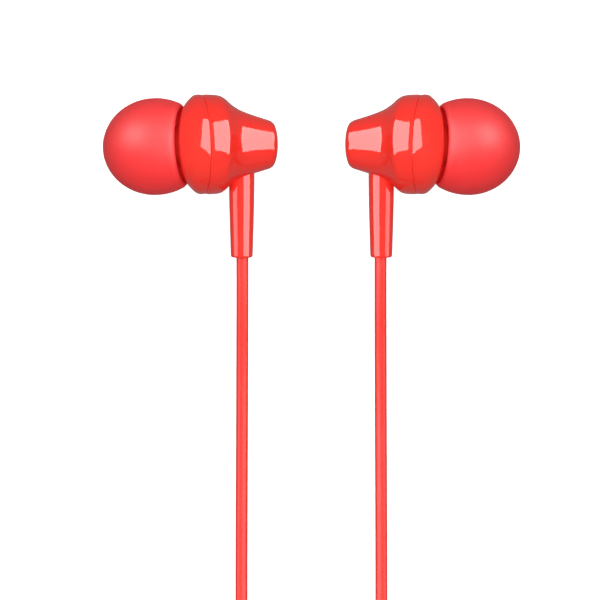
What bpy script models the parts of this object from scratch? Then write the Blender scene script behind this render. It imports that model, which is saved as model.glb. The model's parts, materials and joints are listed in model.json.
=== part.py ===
"""Wired in-ear earphones lying on a table: two mirrored buds, their cords, a splitter and a plug.

The buds lie on the plane z = 0 with the mirror plane at x = 0. Each bud is built in its own frame:
+X runs along the housing's axis to the tail, and the origin is the middle of the parting plane.
Profiles are in millimetres, and MM turns them into metres where a mesh or an object is made.
"""

import math

import bmesh
import bpy
from mathutils import Matrix, Vector

MM = 0.001

# Placing of a bud
BUD_X = 14.0  # parting plane's middle, from the mirror plane
BUD_Y = 4.08
BUD_Z = 6.579
TAIL_DIP = 10.0  # degrees that the housing's axis falls towards the tail
NOZZLE_BEND = 23.0  # degrees between the housing's axis and the nozzle's
NOZZLE_TOE = 2.75  # degrees that the nozzle turns towards the stem
NOZZLE_PIVOT = -2.9  # where the two axes meet, along the housing's axis
NOZZLE_OFFSET = 0.13  # of that point, towards the stem
BUD_SEGMENTS = 24
DRIVER_SEGMENTS = 16

# Housing
HOUSING_RADIUS = 6.45
WALL = 0.8
PARTING_GAP = 0.04  # half the groove between the shells
SPIGOT_RADIUS = 5.60
SPIGOT_LENGTH = 1.0
FIT = 0.08  # play between parts that plug together
TAIL_END = 9.5

# Nozzle, along its own axis from the pivot, forwards being negative
NOZZLE_END = -5.5
NOZZLE_RADIUS = 2.3
NOZZLE_LIP = 2.5
NOZZLE_BORE = 1.45
MESH_SEAT = 1.75
MESH_SEAT_DEPTH = 0.5

# Ear tip, along the nozzle's axis
TIP_EQUATOR = -3.4
TIP_RADIUS = 6.265
TIP_FRONT = 6.8  # half length of the front half's ellipse
TIP_REAR = 7.0  # half length of the rear half's ellipse
TIP_RIM = 3.8  # rim, behind the equator
TIP_WALL = 0.6
SLEEVE_RADIUS = 3.15
SLEEVE_BORE = 2.57
SLEEVE_END = 1.9  # sleeve's open end, behind the equator
SOUND_BORE = 1.55

# Stem, along its own axis from the housing's axis
STEM_S = 5.06  # where it meets the housing's axis, behind the parting plane
STEM_DIP = 6.0  # degrees that it falls towards its end
STEM_START = 3.45
STEM_TAPER = 5.2
STEM_END = 14.62
STEM_ROOT_RADIUS = 1.64
STEM_END_RADIUS = 1.41
STEM_BORE = 0.9

# Driver, along the housing's axis
DRIVER_RADIUS = 4.95
DRIVER_FRONT = 0.62
COIL_INNER = 2.45
COIL_OUTER = 2.75
POLE_RADIUS = 2.25
YOKE_INNER = 2.95
YOKE_OUTER = 3.3
YOKE_BACK = 3.55
HOLE_PHASE = math.radians(7.0)

# Cords
BRANCH_DIAMETER = 1.55
MAIN_DIAMETER = 2.0
BRANCH_COIL_RADIUS = 9.0  # at the middle of its turns
MAIN_COIL_RADIUS = 9.5
BRANCH_LAYERS = 2
MAIN_LAYERS = 4
BRANCH_TURNS = 2.375  # in each layer
MAIN_TURNS = 3.1875
LAYER_PITCH = 1.03  # in diameters
FLOOR_PLAY = 0.005
BRANCH_X = 9.07  # where a branch meets its coil, from the mirror plane
BRANCH_COIL_Y = -68.3
MAIN_COIL_Y = -93.0
TUBE_STEP = 2.4  # diameters between a tube's points

# A branch's route for the left bud: out of the stem, down onto the table, and up to its coil
BRANCH_ROUTE = (
    (-8.93, -10.82, 4.13),
    (-8.93, -14.0, 3.78),
    (-8.94, -18.0, 3.08),
    (-8.96, -22.5, 2.13),
    (-8.98, -27.0, 1.36),
    (-9.00, -32.0, 0.88),
    (-9.02, -37.0, 0.785),
    (-9.05, -44.0, 0.785),
    (-9.07, -52.0, 0.785),
    (-9.07, -58.0, 0.785),
    (-9.07, -61.2, 0.785),
)

# The same branch from its coil's top to the splitter, passing over the stretch above
BRANCH_TAIL = (
    (-13.2, -57.5, 2.40),
    (-11.2, -57.5, 2.62),
    (-9.0, -57.7, 2.72),
    (-6.8, -58.3, 2.62),
    (-4.7, -59.3, 2.35),
    (-2.9, -60.7, 2.00),
    (-1.8, -62.0, 1.76),
    (-1.4, -63.3, 1.66),
    (-1.35, -64.25, 1.65),
)

MAIN_ROUTE = (
    (0.0, -77.2, 1.45),
    (0.0, -78.7, 1.12),
    (0.0, -80.4, 1.01),
    (0.0, -85.0, 1.01),
)

# The main cord from its coil's top to the plug, round to the coil's lower side
MAIN_TAIL = (
    (-4.7, -80.35, 7.10),
    (-1.0, -80.7, 6.90),
    (3.5, -81.7, 6.20),
    (8.5, -83.6, 5.00),
    (12.8, -86.7, 3.70),
    (15.8, -90.8, 2.45),
    (17.4, -95.6, 1.55),
    (17.7, -100.4, 1.10),
    (16.7, -104.9, 1.30),
    (14.5, -108.2, 2.00),
    (12.0, -109.9, 2.75),
    (10.0, -110.2, 2.98),
    (7.35, -110.2, 3.00),
)

# Splitter, its length along Y
SPLITTER_BACK = -64.6
SPLITTER_LENGTH = 12.3
SPLITTER_HEIGHT = 3.3

# Plug, along its own axis, which runs along -X
PLUG_START = 7.0
PLUG_Y = -110.2
PLUG_HEIGHT = 3.0
RELIEF_LENGTH = 8.0
GRIP_LENGTH = 15.0
GRIP_RADIUS = 3.0
PLUG_RADIUS = 1.75
PLUG_FLANGE = 0.6  # thickness of the ring that stops against a socket
SLEEVE_CONTACT = 9.1
PLUG_SEGMENTS = 16

RED_GLOSS = ("red_gloss", (0.79, 0.022, 0.026), 0.08, 0.0)
RED_SILICONE = ("red_silicone", (0.80, 0.050, 0.055), 0.45, 0.0)
RED_JACKET = ("red_jacket", (0.78, 0.026, 0.030), 0.32, 0.0)
STEEL = ("steel", (0.55, 0.56, 0.58), 0.25, 1.0)
GOLD = ("gold", (0.83, 0.62, 0.26), 0.18, 1.0)
COPPER = ("copper", (0.72, 0.30, 0.14), 0.30, 1.0)
MAGNET = ("magnet", (0.30, 0.31, 0.33), 0.35, 1.0)
FILM = ("film", (0.62, 0.66, 0.70), 0.20, 0.0)
BLACK = ("black", (0.02, 0.02, 0.022), 0.45, 0.0)
FELT = ("felt", (0.85, 0.84, 0.80), 0.95, 0.0)
BOARD = ("board", (0.03, 0.22, 0.09), 0.40, 0.0)


def clear_scene():
    for obj in list(bpy.data.objects):
        bpy.data.objects.remove(obj, do_unlink=True)


def material(finish):
    """The material of a finish, made the first time that it is asked for."""
    name, colour, roughness, metallic = finish
    found = bpy.data.materials.get(name)
    if found:
        return found
    made = bpy.data.materials.new(name)
    made.use_nodes = True
    shader = made.node_tree.nodes["Principled BSDF"]
    shader.inputs["Base Color"].default_value = (*colour, 1.0)
    shader.inputs["Roughness"].default_value = roughness
    shader.inputs["Metallic"].default_value = metallic
    return made


def add_object(name, data, finish, parent=None, place=(0, 0, 0), turn=(0, 0, 0)):
    """Links an object for this mesh or curve. place is in millimetres and turn in degrees."""
    obj = bpy.data.objects.new(name, data)
    bpy.context.scene.collection.objects.link(obj)
    obj.parent = parent
    obj.location = [MM * value for value in place]
    obj.rotation_euler = [math.radians(angle) for angle in turn]
    if finish:
        data.materials.append(material(finish))
    return obj


def finish_mesh(bm, name):
    bmesh.ops.recalc_face_normals(bm, faces=bm.faces)
    bmesh.ops.scale(bm, vec=(MM, MM, MM), verts=bm.verts)
    mesh = bpy.data.meshes.new(name)
    bm.to_mesh(mesh)
    bm.free()
    mesh.shade_smooth()
    mesh.set_sharp_from_angle(angle=math.radians(35))
    return mesh


def ring_matrix(s, tilt=0.0):
    """A ring's place at s along X, its plane tilted about Y."""
    return Matrix.Translation((s, 0, 0)) @ Matrix.Rotation(math.radians(-tilt), 4, "Y")


def join_loops(bm, near, far):
    """Faces between two rings of vertices, either of which may be a single point."""
    count = max(len(near), len(far))
    if count == 1:
        return
    for i in range(count):
        j = (i + 1) % count
        corners = [near[i % len(near)], near[j % len(near)], far[j % len(far)], far[i % len(far)]]
        bm.faces.new(list(dict.fromkeys(corners)))


def lofted(name, rings, segments):
    """A closed mesh through a loop of (matrix, radius) rings. Radius 0 is a point on the axis."""
    bm = bmesh.new()
    loops = []
    for place, radius in rings:
        angles = [math.tau * i / segments for i in range(segments if radius else 1)]
        points = [(0, radius * math.cos(a), radius * math.sin(a)) for a in angles]
        loops.append([bm.verts.new(place @ Vector(point)) for point in points])
    for near, far in zip(loops, loops[1:] + loops[:1]):
        join_loops(bm, near, far)
    return finish_mesh(bm, name)


def turned(name, profile, segments):
    """A mesh turned about X from a loop of (s, radius) points."""
    return lofted(name, [(ring_matrix(s), radius) for s, radius in profile], segments)


def tube_profile(start, end, inner, outer):
    return [(start, inner), (start, outer), (end, outer), (end, inner)]


def disc_profile(start, end, radius):
    return [(start, 0), (start, radius), (end, radius), (end, 0)]


def ellipse_arc(half_length, radius, start, end, steps):
    """Points of an ellipse about the axis, from start to end along it."""
    first = math.asin(start / half_length)
    last = math.asin(end / half_length)
    angles = [first + (last - first) * i / (steps - 1) for i in range(steps)]
    return [(half_length * math.sin(a), radius * math.cos(a)) for a in angles]


def shifted(profile, offset):
    return [(s + offset, radius) for s, radius in profile]


def cutter(name, data, parent, place=(0, 0, 0), turn=(0, 0, 0)):
    obj = add_object(name, data, None, parent, place, turn)
    obj.hide_render = True
    obj.display_type = "WIRE"
    return obj


def cut(obj, tool):
    modifier = obj.modifiers.new("cut", "BOOLEAN")
    modifier.operation = "DIFFERENCE"
    modifier.object = tool


def holes_mesh(name, centres, radius, start, end, segments=8):
    """Plugs along X at these (y, z) centres, in one mesh, for cutting holes."""
    bm = bmesh.new()
    for y, z in centres:
        place = Matrix.Translation(((start + end) / 2, y, z)) @ Matrix.Rotation(math.pi / 2, 4, "Y")
        bmesh.ops.create_cone(
            bm,
            cap_ends=True,
            segments=segments,
            radius1=radius,
            radius2=radius,
            depth=end - start,
            matrix=place,
        )
    return finish_mesh(bm, name)


def circle_points(radius, count, phase=0.0):
    angles = [math.tau * i / count + phase for i in range(count)]
    return [(radius * math.cos(a), radius * math.sin(a)) for a in angles]


def smooth_route(points, step):
    """Points about a step apart along the smooth curve through a route's own points."""
    route = [Vector(point) for point in points]
    route = [2 * route[0] - route[1]] + route + [2 * route[-1] - route[-2]]
    fine = []
    for before, here, after, beyond in zip(route, route[1:], route[2:], route[3:]):
        for i in range(16):
            t = i / 16
            pull = (2 * before - 5 * here + 4 * after - beyond) * t * t
            turn = (3 * here - before - 3 * after + beyond) * t * t * t
            fine.append(here + 0.5 * ((after - before) * t + pull + turn))
    fine.append(route[-2])
    lengths = [(b - a).length for a, b in zip(fine, fine[1:])]
    count = max(2, round(sum(lengths) / step))
    marks = [sum(lengths) * i / count for i in range(count + 1)]
    found = []
    walked = 0.0
    i = 0
    for mark in marks:
        while i < len(lengths) - 1 and walked + lengths[i] < mark:
            walked += lengths[i]
            i += 1
        found.append(fine[i].lerp(fine[i + 1], (mark - walked) / lengths[i]))
    return found


def tube(name, points, diameter, finish, parent=None):
    """A round tube along these points, with closed ends."""
    curve = bpy.data.curves.new(name, "CURVE")
    curve.dimensions = "3D"
    curve.bevel_depth = diameter / 2 * MM
    curve.bevel_resolution = 2
    curve.use_fill_caps = True
    spline = curve.splines.new("POLY")
    spline.points.add(len(points) - 1)
    for target, point in zip(spline.points, points):
        target.co = (*(MM * Vector(point)), 1.0)
    return add_object(name, curve, finish, parent)


def mirrored(points, side):
    """A left-hand route as it stands on this side: -1 is left and 1 is right."""
    return [(-side * x, y, z) for x, y, z in points]


# ---- The bud's pieces. Every one takes the side's name and its frames ----


def nozzle_matrix(side):
    """The nozzle's frame in the bud's: bent down, and turned towards the stem."""
    place = Matrix.Translation((NOZZLE_PIVOT, side * NOZZLE_OFFSET, 0))
    toe = Matrix.Rotation(math.radians(-side * NOZZLE_TOE), 4, "Z")
    return place @ toe @ Matrix.Rotation(math.radians(-NOZZLE_BEND), 4, "Y")


def front_shell_rings(nozzle_frame):
    """The shell's outside, its nozzle, the bore and the inside, as one loop of rings.

    Its rings lean over step by step, from the parting plane to the nozzle's own direction.
    """
    body = [
        (-PARTING_GAP, HOUSING_RADIUS - 0.03, 0.0),
        (-0.46, HOUSING_RADIUS, 0.0),
        (-0.85, 6.39, 2.5),
        (-1.24, 6.18, 7.0),
        (-1.64, 5.76, 12.5),
        (-2.03, 5.22, 20.0),
        (-2.02, 4.80, 22.0),
        (-2.32, 3.50, 23.0),
    ]
    nozzle = [
        (-0.2, 2.7),
        (-0.8, NOZZLE_RADIUS),
        (NOZZLE_END + 0.8, NOZZLE_RADIUS),
        (NOZZLE_END + 0.7, NOZZLE_LIP),
        (NOZZLE_END + 0.35, NOZZLE_LIP),
        (NOZZLE_END, NOZZLE_LIP - 0.25),
        (NOZZLE_END, MESH_SEAT),
        (NOZZLE_END + MESH_SEAT_DEPTH, MESH_SEAT),
        (NOZZLE_END + MESH_SEAT_DEPTH, NOZZLE_BORE),
        (-0.4, NOZZLE_BORE),
        (0.35, 2.1),
    ]
    inside = [
        (-1.30, 3.50, 20.0),
        (-1.00, 4.90, 17.0),
        (0.50, 5.03, 0.0),
        (SPIGOT_LENGTH, 5.03, 0.0),
        (SPIGOT_LENGTH, SPIGOT_RADIUS, 0.0),
        (-PARTING_GAP, SPIGOT_RADIUS, 0.0),
    ]
    rings = [(ring_matrix(s, tilt), radius) for s, radius, tilt in body]
    rings += [(nozzle_frame @ Matrix.Translation((s, 0, 0)), radius) for s, radius in nozzle]
    rings += [(ring_matrix(s, tilt), radius) for s, radius, tilt in inside]
    return rings


def rear_shell_profile():
    outside = [
        (PARTING_GAP, HOUSING_RADIUS - 0.03),
        (0.3, HOUSING_RADIUS),
        (1.4, 6.41),
        (2.1, 6.31),
        (2.69, 6.00),
        (3.3, 5.46),
        (3.87, 5.02),
        (4.8, 4.50),
        (6.0, 3.98),
        (7.4, 3.49),
        (8.58, 3.12),
        (9.1, 2.75),
        (9.38, 2.25),
        (TAIL_END, 1.75),
        (TAIL_END + 0.08, 0),
    ]
    inside = [
        (8.6, 0),
        (8.6, 2.2),
        (7.2, 3.56 - WALL),
        (5.4, 4.22 - WALL),
        (3.9, 5.0 - WALL - 0.1),
        (3.0, 4.4),
        (2.08, 4.4),
        (2.08, DRIVER_RADIUS + FIT),
        (SPIGOT_LENGTH + FIT, DRIVER_RADIUS + FIT),
        (SPIGOT_LENGTH + FIT, SPIGOT_RADIUS + FIT),
        (PARTING_GAP, SPIGOT_RADIUS + FIT),
    ]
    return outside + inside


def ear_tip_profile():
    """The dome from its sound opening back to the rim, then inside it, and along the sleeve."""
    front = ellipse_arc(TIP_FRONT, TIP_RADIUS, -6.35, 0.0, 9)
    rear = ellipse_arc(TIP_REAR, TIP_RADIUS, 1.3, TIP_RIM - 0.4, 3)
    inner = ellipse_arc(TIP_FRONT - 1.0, TIP_RADIUS - TIP_WALL, -4.5, TIP_RIM - 0.3, 6)[::-1]
    rim = [(TIP_RIM - 0.12, 5.18), (TIP_RIM, 4.92)]
    inner[0] = (TIP_RIM - 0.35, 4.72)
    sleeve = [
        (-4.1, SLEEVE_RADIUS),
        (SLEEVE_END, SLEEVE_RADIUS),
        (SLEEVE_END, SLEEVE_BORE),
        (-2.3, SLEEVE_BORE),
        (-2.3, SOUND_BORE),
        (-6.45, SOUND_BORE),
        (-6.58, SOUND_BORE + 0.2),
    ]
    return shifted(front + rear + rim + inner + sleeve, TIP_EQUATOR)


def stem_profile():
    return [
        (STEM_START, STEM_BORE),
        (STEM_START, STEM_ROOT_RADIUS),
        (STEM_TAPER, STEM_ROOT_RADIUS),
        (STEM_END - 0.35, STEM_END_RADIUS),
        (STEM_END - 0.1, STEM_END_RADIUS - 0.08),
        (STEM_END, STEM_END_RADIUS - 0.25),
        (STEM_END, STEM_BORE),
    ]


def add_housing(side_name, side, bud, nozzle, stem):
    rings = front_shell_rings(nozzle_matrix(side))
    add_object(f"{side_name}_front_shell", lofted("front_shell", rings, BUD_SEGMENTS), RED_GLOSS, bud)
    mesh = turned("rear_shell", rear_shell_profile(), BUD_SEGMENTS)
    rear = add_object(f"{side_name}_rear_shell", mesh, RED_GLOSS, bud)
    hole = turned("stem_hole", disc_profile(2.6, 8.0, STEM_ROOT_RADIUS + FIT), BUD_SEGMENTS)
    cut(rear, cutter(f"{side_name}_stem_hole", hole, stem))
    add_object(f"{side_name}_stem", turned("stem", stem_profile(), BUD_SEGMENTS), RED_GLOSS, stem)
    mesh = turned("ear_tip", ear_tip_profile(), BUD_SEGMENTS)
    add_object(f"{side_name}_ear_tip", mesh, RED_SILICONE, nozzle)
    seat_floor = NOZZLE_END + MESH_SEAT_DEPTH
    guard = turned("nozzle_mesh", disc_profile(seat_floor - 0.3, seat_floor - 0.06, 1.67), DRIVER_SEGMENTS)
    add_object(f"{side_name}_nozzle_mesh", guard, STEEL, nozzle)


def driver_frame_profile():
    return [
        (0.86, 4.45),
        (0.86, DRIVER_RADIUS),
        (2.0, DRIVER_RADIUS),
        (2.0, 3.45),
        (1.75, 3.45),
        (1.75, 4.45),
    ]


def diaphragm_profile():
    """A dome in the middle, and a rolled surround outside the voice coil."""
    film = 0.12
    front = [(1.06, 0), (1.09, 1.2), (1.24, 2.4), (1.24, 2.8), (1.12, 3.3), (1.12, 3.8), (1.24, 4.35)]
    back = [(s + film, radius) for s, radius in reversed(front)]
    return front + back


def yoke_profile():
    return [
        (1.8, YOKE_INNER),
        (1.8, YOKE_OUTER),
        (YOKE_BACK, YOKE_OUTER),
        (YOKE_BACK, 0),
        (YOKE_BACK - 0.5, 0),
        (YOKE_BACK - 0.5, YOKE_INNER),
    ]


def add_driver(side_name, bud):
    """The moving-coil driver, front to back along the housing's axis."""
    pieces = (
        ("driver_cover", disc_profile(DRIVER_FRONT, DRIVER_FRONT + 0.18, 4.85), STEEL),
        ("driver_frame", driver_frame_profile(), BLACK),
        ("diaphragm", diaphragm_profile(), FILM),
        ("voice_coil", tube_profile(1.42, 2.45, COIL_INNER, COIL_OUTER), COPPER),
        ("top_plate", disc_profile(1.75, 2.15, POLE_RADIUS), STEEL),
        ("magnet", disc_profile(2.21, 2.99, POLE_RADIUS - 0.1), MAGNET),
        ("yoke", yoke_profile(), STEEL),
        ("damping_disc", tube_profile(2.06, 2.24, YOKE_OUTER + 0.1, 4.3), FELT),
        ("terminal_board", disc_profile(YOKE_BACK + 0.06, YOKE_BACK + 0.34, 2.6), BOARD),
    )
    made = {}
    for name, profile, finish in pieces:
        mesh = turned(name, profile, DRIVER_SEGMENTS)
        made[name] = add_object(f"{side_name}_{name}", mesh, finish, bud)
    sound_holes = holes_mesh("sound_holes", circle_points(2.6, 6, HOLE_PHASE), 0.55, 0.5, 1.0)
    cut(made["driver_cover"], cutter(f"{side_name}_sound_holes", sound_holes, bud))
    vents = holes_mesh("vents", circle_points(3.95, 6, HOLE_PHASE), 0.3, 1.6, 2.1)
    cut(made["driver_frame"], cutter(f"{side_name}_vents", vents, bud))


def add_leads(side_name, bud, stem, towards_stem):
    """The knot that holds the cord in the stem, and the two leads from it to the board."""
    knot = ellipse_arc(0.85, 1.05, -0.84, 0.84, 6)
    knot = [(-0.85, 0)] + knot + [(0.85, 0)]
    mesh = turned("cable_knot", shifted(knot, 2.15), 12)
    add_object(f"{side_name}_cable_knot", mesh, RED_JACKET, stem)
    board_back = YOKE_BACK + 0.34
    for name, across, finish in (("signal_lead", 0.9, GOLD), ("ground_lead", -0.9, COPPER)):
        route = (
            (board_back + 0.12, towards_stem * 0.5, across),
            (board_back + 0.45, towards_stem * 0.45, across),
            (board_back + 0.85, towards_stem * 0.6, across * 0.8),
            (STEM_S, towards_stem * 1.05, across * 0.5),
        )
        tube(f"{side_name}_{name}", smooth_route(route, 0.4), 0.2, finish, bud)


def empty(name, parent=None, place=(0, 0, 0), turn=(0, 0, 0)):
    return add_object(name, None, None, parent, place, turn)


def add_bud(side_name, side):
    """One bud. side is -1 for the left and 1 for the right."""
    facing = 0 if side < 0 else 180
    bud = empty(f"{side_name}_bud", None, (side * BUD_X, BUD_Y, BUD_Z), (0, TAIL_DIP, facing))
    pivot = (NOZZLE_PIVOT, side * NOZZLE_OFFSET, 0)
    nozzle = empty(f"{side_name}_nozzle", bud, pivot, (0, -NOZZLE_BEND, -side * NOZZLE_TOE))
    dip = math.radians(TAIL_DIP)
    stem_place = (side * (BUD_X - STEM_S * math.cos(dip)), BUD_Y, BUD_Z - STEM_S * math.sin(dip))
    stem = empty(f"{side_name}_stem_frame", None, stem_place, (0, STEM_DIP, -90))
    add_housing(side_name, side, bud, nozzle, stem)
    add_driver(side_name, bud)
    add_leads(side_name, bud, stem, side)


# ---- Cords, splitter and plug ----


def coil_ring(name, centre, mean_radius, turns, layers, diameter):
    """The outer shape of a round coil, as a turned ring on the table."""
    reach = (turns / 2 + 0.5) * diameter
    height = (1 + (layers - 1) * LAYER_PITCH) * diameter
    corner = 0.3 * diameter
    inner = mean_radius - reach
    outer = mean_radius + reach
    profile = [
        (0, inner + corner),
        (0, outer - corner),
        (corner, outer),
        (height - corner, outer),
        (height, outer - corner),
        (height, inner + corner),
        (height - corner, inner),
        (corner, inner),
    ]
    mesh = turned(name, profile, 32)
    add_object(name, mesh, RED_JACKET, None, (*centre, FLOOR_PLAY), (0, -90, 0))


def add_branch(side_name, side):
    step = TUBE_STEP * BRANCH_DIAMETER
    route = mirrored(BRANCH_ROUTE, side)
    tube(f"{side_name}_cord", smooth_route(route, step), BRANCH_DIAMETER, RED_JACKET)
    outer_turn = BRANCH_COIL_RADIUS + BRANCH_TURNS / 2 * BRANCH_DIAMETER
    centre = (side * (BRANCH_X + outer_turn), BRANCH_COIL_Y)
    winding = (BRANCH_COIL_RADIUS, BRANCH_TURNS, BRANCH_LAYERS, BRANCH_DIAMETER)
    coil_ring(f"{side_name}_cord_coil", centre, *winding)
    tail = mirrored(BRANCH_TAIL, side)
    tube(f"{side_name}_cord_tail", smooth_route(tail, step), BRANCH_DIAMETER, RED_JACKET)


def splitter_mesh():
    """A flat-bottomed moulding, wide where the branches enter and narrow where the main cord leaves."""
    half = SPLITTER_LENGTH / 2
    outline = [(-1.7, half), (1.7, half), (2.7, half - 1.0), (2.6, 1.0), (1.9, -3.2), (1.5, 0.4 - half)]
    outline += [(1.1, -half), (-1.1, -half)]
    outline += [(-x, y) for x, y in reversed(outline[2:6])]
    bm = bmesh.new()
    base = bm.faces.new([bm.verts.new((x, y, 0)) for x, y in outline])
    raised = bmesh.ops.extrude_face_region(bm, geom=[base])["geom"]
    tops = [item for item in raised if isinstance(item, bmesh.types.BMVert)]
    bmesh.ops.translate(bm, vec=(0, 0, SPLITTER_HEIGHT), verts=tops)
    level = [e for e in bm.edges if e.verts[0].co.z == e.verts[1].co.z]
    bmesh.ops.bevel(bm, geom=level, offset=0.55, segments=2, affect="EDGES", profile=0.5)
    return finish_mesh(bm, "splitter")


def add_main_cord():
    step = TUBE_STEP * MAIN_DIAMETER
    place = (0, SPLITTER_BACK - SPLITTER_LENGTH / 2, FLOOR_PLAY)
    add_object("splitter", splitter_mesh(), RED_JACKET, None, place)
    tube("main_cord", smooth_route(MAIN_ROUTE, step / 2), MAIN_DIAMETER, RED_JACKET)
    outer_turn = MAIN_COIL_RADIUS + MAIN_TURNS / 2 * MAIN_DIAMETER
    winding = (MAIN_COIL_RADIUS, MAIN_TURNS, MAIN_LAYERS, MAIN_DIAMETER)
    coil_ring("main_cord_coil", (-outer_turn, MAIN_COIL_Y), *winding)
    tube("main_cord_tail", smooth_route(MAIN_TAIL, step), MAIN_DIAMETER, RED_JACKET)


def add_plug():
    """A straight three-pole plug, from its strain relief to its tip."""
    frame = empty("plug", None, (PLUG_START, PLUG_Y, PLUG_HEIGHT), (0, 0, 180))
    grip_start = RELIEF_LENGTH + 0.1
    shoulder = grip_start + GRIP_LENGTH
    contact = shoulder + 0.1
    relief = [
        (0, 0),
        (0, 1.15),
        (0.3, 1.3),
        (RELIEF_LENGTH - 0.6, 1.9),
        (RELIEF_LENGTH, 1.9),
        (RELIEF_LENGTH, 0),
    ]
    grip = [
        (grip_start, 0),
        (grip_start, 2.2),
        (grip_start + 0.8, 2.75),
        (grip_start + 2.2, GRIP_RADIUS),
        (shoulder - 0.4, GRIP_RADIUS),
        (shoulder, GRIP_RADIUS - 0.4),
        (shoulder, 0),
    ]
    sleeve_end = contact + SLEEVE_CONTACT
    ring_start = sleeve_end + 0.7
    ring_end = ring_start + 1.5
    tip_start = ring_end + 0.7
    tip = [
        (tip_start, 0),
        (tip_start, 1.62),
        (tip_start + 0.35, 1.25),
        (tip_start + 0.7, 1.3),
        (tip_start + 1.3, PLUG_RADIUS - 0.05),
        (tip_start + 1.7, PLUG_RADIUS - 0.1),
        (tip_start + 2.5, 0.6),
        (tip_start + 2.6, 0),
    ]
    sleeve = [
        (contact, 0),
        (contact, 2.3),
        (contact + PLUG_FLANGE, 2.3),
        (contact + PLUG_FLANGE, PLUG_RADIUS),
        (sleeve_end, PLUG_RADIUS),
        (sleeve_end, 0),
    ]
    pieces = (
        ("plug_strain_relief", relief, RED_JACKET),
        ("plug_grip", grip, RED_GLOSS),
        ("plug_sleeve_contact", sleeve, GOLD),
        ("plug_ring_insulator", disc_profile(sleeve_end + 0.06, ring_start - 0.06, 1.68), BLACK),
        ("plug_ring_contact", disc_profile(ring_start, ring_end, PLUG_RADIUS), GOLD),
        ("plug_tip_insulator", disc_profile(ring_end + 0.06, tip_start - 0.06, 1.68), BLACK),
        ("plug_tip_contact", tip, GOLD),
    )
    for name, profile, finish in pieces:
        add_object(name, turned(name, profile, PLUG_SEGMENTS), finish, frame)


def main():
    clear_scene()
    for side_name, side in (("left", -1), ("right", 1)):
        add_bud(side_name, side)
        add_branch(side_name, side)
    add_main_cord()
    add_plug()


main()
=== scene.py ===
"""Looks of the wired earphones: two glossy buds with silicone tips, their cords, splitter and plug.

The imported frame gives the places. Everything here is measured in millimetres in a bud's own frame,
where +X runs along the housing's axis to the tail, and is turned into the row's metres at the end.
"""

import json
import logging
import math
from dataclasses import dataclass, field
from enum import Enum

import bmesh
import bpy
from mathutils import Matrix, Vector

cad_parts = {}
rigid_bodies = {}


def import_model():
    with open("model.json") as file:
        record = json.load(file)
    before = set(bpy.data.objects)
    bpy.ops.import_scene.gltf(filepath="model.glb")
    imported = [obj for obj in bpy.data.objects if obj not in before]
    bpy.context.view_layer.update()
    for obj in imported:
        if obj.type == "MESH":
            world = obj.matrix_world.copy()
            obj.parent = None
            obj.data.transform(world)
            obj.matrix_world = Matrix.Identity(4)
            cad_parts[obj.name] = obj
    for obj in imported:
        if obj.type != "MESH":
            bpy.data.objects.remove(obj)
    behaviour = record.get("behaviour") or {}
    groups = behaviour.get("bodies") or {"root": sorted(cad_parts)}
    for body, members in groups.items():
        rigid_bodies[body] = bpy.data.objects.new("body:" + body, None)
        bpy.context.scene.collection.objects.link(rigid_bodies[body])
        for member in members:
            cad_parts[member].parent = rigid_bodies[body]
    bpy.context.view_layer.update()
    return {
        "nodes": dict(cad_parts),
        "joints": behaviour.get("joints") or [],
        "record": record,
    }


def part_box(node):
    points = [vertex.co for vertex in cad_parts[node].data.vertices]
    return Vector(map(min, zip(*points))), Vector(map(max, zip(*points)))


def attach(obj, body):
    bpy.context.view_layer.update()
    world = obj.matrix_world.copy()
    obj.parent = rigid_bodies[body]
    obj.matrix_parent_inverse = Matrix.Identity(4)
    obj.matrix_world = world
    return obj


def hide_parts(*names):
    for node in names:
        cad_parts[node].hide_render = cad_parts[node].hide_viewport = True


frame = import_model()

MM = 0.001
# The middle span of a noise, where nearly all its values are.
NOISE_SPAN = (0.3, 0.7)
# Points of an outline that are nearer than this, in millimetres, are one point.
SAME_POINT = 0.001
LOG = logging.getLogger("earphones")

Object = bpy.types.Object
Socket = bpy.types.NodeSocket
Point = tuple[float, ...]
Colour = tuple[float, float, float]


class Side(Enum):
    """The two buds, with the sign of each one's X."""

    LEFT = -1
    RIGHT = 1

    @property
    def word(self) -> str:
        """The word that the frame's names start with.

        Returns:
            Left or right, in small letters.
        """
        return self.name.lower()


class Slot(Enum):
    """The record's material slots."""

    GLOSS = "red_gloss"
    SILICONE = "red_silicone"
    JACKET = "red_jacket"
    STEEL = "steel"
    GOLD = "gold"
    COPPER = "copper"
    MAGNET = "magnet"
    FILM = "film"
    BLACK = "black_plastic"
    FELT = "felt"
    BOARD = "board"


# ---- curves and meshes


def smooth(points: list[Point], parts: int = 8) -> list[Point]:
    """Runs a smooth curve through points of any number of dimensions.

    Args:
        points: The points that the curve passes through.
        parts: How many steps the curve takes from each point to the next.

    Returns:
        The curve's points, with both ends among them.
    """
    route = [Vector(point) for point in points]
    route = [2 * route[0] - route[1]] + route + [2 * route[-1] - route[-2]]
    found = []
    for before, here, after, beyond in zip(route, route[1:], route[2:], route[3:]):
        for i in range(parts):
            t = i / parts
            pull = (2 * before - 5 * here + 4 * after - beyond) * t * t
            turn = (3 * here - before - 3 * after + beyond) * t * t * t
            found.append(tuple(here + 0.5 * ((after - before) * t + pull + turn)))
    found.append(tuple(route[-2]))
    return found


def ellipse(half_length: float, radius: float, start: float, end: float, steps: int) -> list[Point]:
    """Points (s, radius) of an ellipse about the axis.

    Args:
        half_length: Half its length along the axis.
        radius: Its radius at the middle.
        start: Where along the axis the points start.
        end: Where they end.
        steps: How many points there are.

    Returns:
        The points in order.
    """
    first = math.asin(start / half_length)
    last = math.asin(end / half_length)
    angles = [first + (last - first) * i / (steps - 1) for i in range(steps)]
    return [(half_length * math.sin(a), radius * math.cos(a)) for a in angles]


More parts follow.
